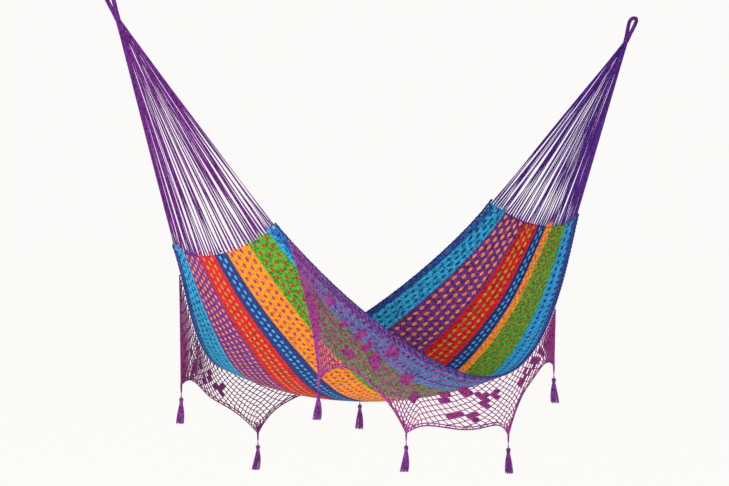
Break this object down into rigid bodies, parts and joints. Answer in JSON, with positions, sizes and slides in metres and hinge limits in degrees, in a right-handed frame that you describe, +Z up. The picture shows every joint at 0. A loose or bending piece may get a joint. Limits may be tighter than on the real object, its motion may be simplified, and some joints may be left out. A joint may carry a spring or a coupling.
{
  "type": "rope hammock",
  "caption": "Net-woven cotton hammock with lengthwise colour panels, fanned arm cords to an eye at each end, and a scalloped net fringe with tassels.",
  "frame": {"origin": "halfway between the two points where the eyes bear on their hooks", "axes": "+X along the hang line to the right eye, +Y to the far long edge, +Z up"},
  "size_m": [2.9388, 1.1259, 1.7314],
  "materials": {
    "eye_cotton": "wrapped cotton cord, matt",
    "arm_cotton": "twisted cotton cord, matt",
    "cyan_cotton": "woven cotton net, sky blue with navy spots",
    "purple_cotton": "woven cotton net, purple with orange spots",
    "red_cotton": "woven cotton net, red with olive spots",
    "navy_cotton": "woven cotton net, navy with light blue spots",
    "orange_cotton": "woven cotton net, orange with brown spots",
    "green_cotton": "woven cotton net, green with dark red spots",
    "blue_cotton": "woven cotton net, blue with navy spots",
    "selvedge_cotton": "twisted cotton edge cord, navy",
    "fringe_cotton": "crocheted cotton net, magenta",
    "tassel_cotton": "cotton yarn, purple"
  },
  "bodies": {
    "hooked_eyes": {"left_eye_bight": "eye_cotton", "right_eye_bight": "eye_cotton"},
    "hammock": {"left_eye_leg_near": "eye_cotton", "left_eye_leg_far": "eye_cotton", "left_neck_whipping": "eye_cotton", "left_arm_cords_cyan": "arm_cotton", "left_arm_cords_purple": "arm_cotton", "left_arm_cords_red": "arm_cotton", "left_arm_cords_navy": "arm_cotton", "left_arm_cords_orange": "arm_cotton", "left_arm_cords_green": "arm_cotton", "left_arm_cords_blue": "arm_cotton", "right_eye_leg_near": "eye_cotton", "right_eye_leg_far": "eye_cotton", "right_neck_whipping": "eye_cotton", "right_arm_cords_cyan": "arm_cotton", "right_arm_cords_purple": "arm_cotton", "right_arm_cords_red": "arm_cotton", "right_arm_cords_navy": "arm_cotton", "right_arm_cords_orange": "arm_cotton", "right_arm_cords_green": "arm_cotton", "right_arm_cords_blue": "arm_cotton", "cyan_panel": "cyan_cotton", "purple_panel": "purple_cotton", "red_panel": "red_cotton", "navy_panel": "navy_cotton", "orange_panel": "orange_cotton", "green_panel": "green_cotton", "blue_panel": "blue_cotton", "near_selvedge": "selvedge_cotton", "near_fringe": "fringe_cotton", "far_selvedge": "selvedge_cotton", "far_fringe": "fringe_cotton"},
    "near_tassel_cord_1": {"near_tassel_cord_1": "fringe_cotton"},
    "near_tassel_1": {"near_tassel_head_1": "tassel_cotton", "near_tassel_skirt_1": "tassel_cotton"},
    "near_tassel_cord_2": {"near_tassel_cord_2": "fringe_cotton"},
    "near_tassel_2": {"near_tassel_head_2": "tassel_cotton", "near_tassel_skirt_2": "tassel_cotton"},
    "near_tassel_cord_3": {"near_tassel_cord_3": "fringe_cotton"},
    "near_tassel_3": {"near_tassel_head_3": "tassel_cotton", "near_tassel_skirt_3": "tassel_cotton"},
    "near_tassel_cord_4": {"near_tassel_cord_4": "fringe_cotton"},
    "near_tassel_4": {"near_tassel_head_4": "tassel_cotton", "near_tassel_skirt_4": "tassel_cotton"},
    "far_tassel_cord_1": {"far_tassel_cord_1": "fringe_cotton"},
    "far_tassel_1": {"far_tassel_head_1": "tassel_cotton", "far_tassel_skirt_1": "tassel_cotton"},
    "far_tassel_cord_2": {"far_tassel_cord_2": "fringe_cotton"},
    "far_tassel_2": {"far_tassel_head_2": "tassel_cotton", "far_tassel_skirt_2": "tassel_cotton"},
    "far_tassel_cord_3": {"far_tassel_cord_3": "fringe_cotton"},
    "far_tassel_3": {"far_tassel_head_3": "tassel_cotton", "far_tassel_skirt_3": "tassel_cotton"},
    "far_tassel_cord_4": {"far_tassel_cord_4": "fringe_cotton"},
    "far_tassel_4": {"far_tassel_head_4": "tassel_cotton", "far_tassel_skirt_4": "tassel_cotton"}
  },
  "joints": [
    {"name": "hammock_swing", "type": "hinge", "parent": "hooked_eyes", "child": "hammock", "pos_m": [0, 0, 0], "axis": [1, 0, 0], "range_deg": [-35, 35]},
    {"name": "near_tassel_cord_1_swing", "type": "hinge", "parent": "hammock", "child": "near_tassel_cord_1", "pos_m": [-0.72699, -0.30839, -1.34432], "axis": [1, 0, 0], "range_deg": [-25, 25]},
    {"name": "near_tassel_1_swing", "type": "hinge", "parent": "near_tassel_cord_1", "child": "near_tassel_1", "pos_m": [-0.72699, -0.30839, -1.38032], "axis": [0, 1, 0], "range_deg": [-30, 30]},
    {"name": "near_tassel_cord_2_swing", "type": "hinge", "parent": "hammock", "child": "near_tassel_cord_2", "pos_m": [-0.40968, -0.44016, -1.53543], "axis": [1, 0, 0], "range_deg": [-25, 25]},
    {"name": "near_tassel_2_swing", "type": "hinge", "parent": "near_tassel_cord_2", "child": "near_tassel_2", "pos_m": [-0.40968, -0.44016, -1.57143], "axis": [0, 1, 0], "range_deg": [-30, 30]},
    {"name": "near_tassel_cord_3_swing", "type": "hinge", "parent": "hammock", "child": "near_tassel_cord_3", "pos_m": [0.07587, -0.50736, -1.56133], "axis": [1, 0, 0], "range_deg": [-25, 25]},
    {"name": "near_tassel_3_swing", "type": "hinge", "parent": "near_tassel_cord_3", "child": "near_tassel_3", "pos_m": [0.07587, -0.50736, -1.59733], "axis": [0, 1, 0], "range_deg": [-30, 30]},
    {"name": "near_tassel_cord_4_swing", "type": "hinge", "parent": "hammock", "child": "near_tassel_cord_4", "pos_m": [0.47703, -0.39367, -1.32477], "axis": [1, 0, 0], "range_deg": [-25, 25]},
    {"name": "near_tassel_4_swing", "type": "hinge", "parent": "near_tassel_cord_4", "child": "near_tassel_4", "pos_m": [0.47703, -0.39367, -1.36077], "axis": [0, 1, 0], "range_deg": [-30, 30]},
    {"name": "far_tassel_cord_1_swing", "type": "hinge", "parent": "hammock", "child": "far_tassel_cord_1", "pos_m": [-0.8438, 0.24428, -1.37165], "axis": [1, 0, 0], "range_deg": [-25, 25]},
    {"name": "far_tassel_1_swing", "type": "hinge", "parent": "far_tassel_cord_1", "child": "far_tassel_1", "pos_m": [-0.8438, 0.24428, -1.40765], "axis": [0, 1, 0], "range_deg": [-30, 30]},
    {"name": "far_tassel_cord_2_swing", "type": "hinge", "parent": "hammock", "child": "far_tassel_cord_2", "pos_m": [-0.07137, 0.58846, -1.58619], "axis": [1, 0, 0], "range_deg": [-25, 25]},
    {"name": "far_tassel_2_swing", "type": "hinge", "parent": "far_tassel_cord_2", "child": "far_tassel_2", "pos_m": [-0.07137, 0.58846, -1.62219], "axis": [0, 1, 0], "range_deg": [-30, 30]},
    {"name": "far_tassel_cord_3_swing", "type": "hinge", "parent": "hammock", "child": "far_tassel_cord_3", "pos_m": [0.32065, 0.42502, -1.44294], "axis": [1, 0, 0], "range_deg": [-25, 25]},
    {"name": "far_tassel_3_swing", "type": "hinge", "parent": "far_tassel_cord_3", "child": "far_tassel_3", "pos_m": [0.32065, 0.42502, -1.47894], "axis": [0, 1, 0], "range_deg": [-30, 30]},
    {"name": "far_tassel_cord_4_swing", "type": "hinge", "parent": "hammock", "child": "far_tassel_cord_4", "pos_m": [0.62341, 0.21114, -1.15641], "axis": [1, 0, 0], "range_deg": [-25, 25]},
    {"name": "far_tassel_4_swing", "type": "hinge", "parent": "far_tassel_cord_4", "child": "far_tassel_4", "pos_m": [0.62341, 0.21114, -1.19241], "axis": [0, 1, 0], "range_deg": [-30, 30]}
  ]
}
